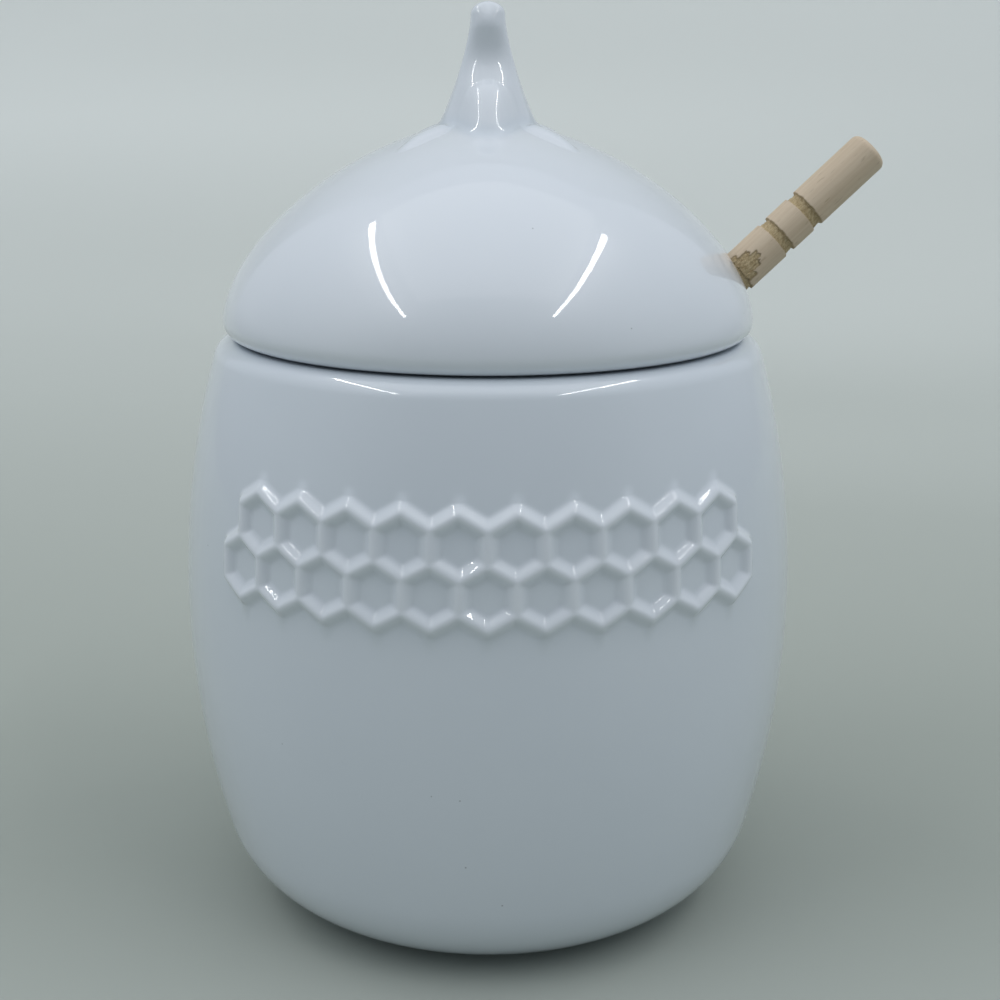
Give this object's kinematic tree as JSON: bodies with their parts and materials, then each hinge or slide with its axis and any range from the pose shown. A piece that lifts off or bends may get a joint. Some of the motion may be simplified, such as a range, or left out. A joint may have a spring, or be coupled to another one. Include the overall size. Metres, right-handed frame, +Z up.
{
  "type": "honey pot with lid and dipper",
  "caption": "Barrel-shaped porcelain honey pot with a loose domed lid, moulded bud knob, a notch in the lid's edge, and a turned wooden dipper leaning out through it.",
  "frame": {"origin": "on the axis of the pot, on the surface that its foot ring stands on", "axes": "+Z up along the axis of the pot, -Y towards the viewer (the front with the raised band), +X to the right, where the dipper leans out"},
  "size_m": [0.1282, 0.112, 0.1635],
  "materials": {
    "pot_glaze": "glossy clear glaze over white porcelain",
    "lid_glaze": "glossy clear glaze over white porcelain",
    "beech": "turned and sanded bare beech"
  },
  "bodies": {
    "pot": {"pot": "pot_glaze"},
    "lid": {"lid": "lid_glaze"},
    "dipper": {"dipper": "beech"}
  },
  "joints": [
    {"name": "lid_lift", "type": "slide", "parent": "pot", "child": "lid", "axis": [0, 0, 1], "range_m": [0, 0.08]},
    {"name": "dipper_draw", "type": "slide", "parent": "pot", "child": "dipper", "axis": [0.7301, 0.1026, 0.6756], "range_m": [0, 0.06]}
  ]
}
